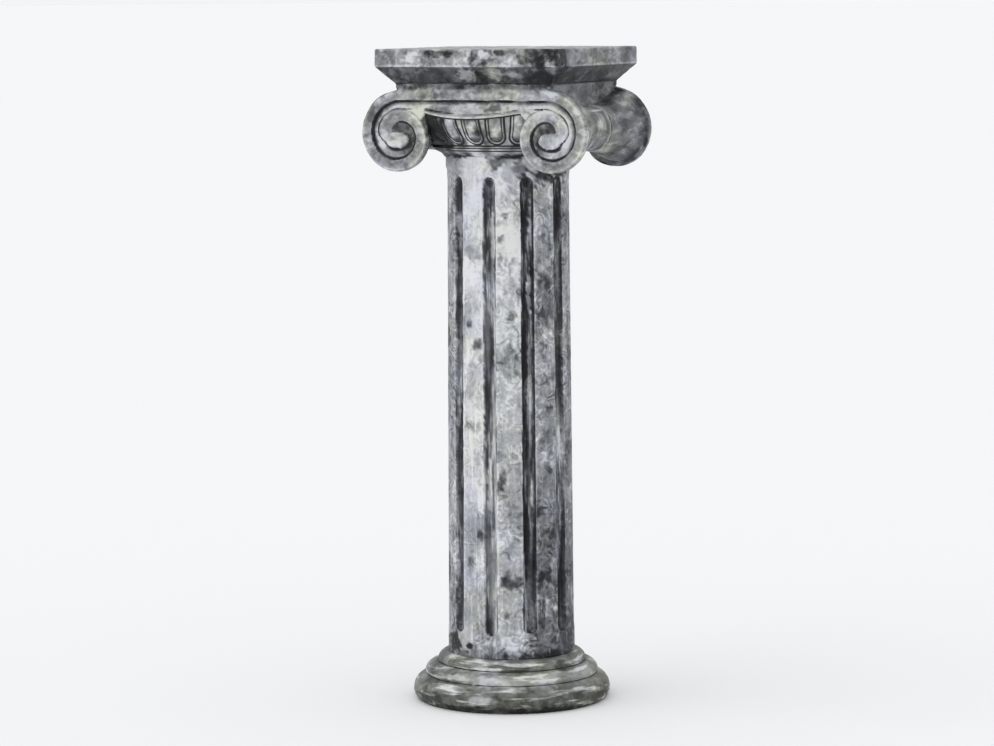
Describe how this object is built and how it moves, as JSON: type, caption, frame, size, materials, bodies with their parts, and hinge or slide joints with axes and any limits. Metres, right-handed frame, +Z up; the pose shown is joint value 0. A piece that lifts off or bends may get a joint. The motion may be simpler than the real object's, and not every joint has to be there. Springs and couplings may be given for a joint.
{
  "type": "ionic column",
  "caption": "Free-standing ionic column, a display pedestal with a ringed round base, a fluted shaft and a square-topped capital with scrolled volutes and egg carving.",
  "frame": {"origin": "middle of the underside of the base, at the centre of the bounding box's bottom", "axes": "+Z up along the column, -Y towards the front face with its two volutes, +X towards the right-hand bolster"},
  "size_m": [0.37, 0.3042, 1],
  "materials": {
    "base_paint": "satin faux-marble paint on cast plaster, dark olive grey with light streaks",
    "shaft_paint": "satin faux-marble paint on cast plaster, charcoal flutes and mottled grey-white fillets",
    "capital_paint": "satin faux-marble paint on cast plaster, beige-grey carving with dark grooves"
  },
  "bodies": {
    "root": {"base": "base_paint", "shaft": "shaft_paint", "capital": "capital_paint"}
  },
  "joints": []
}
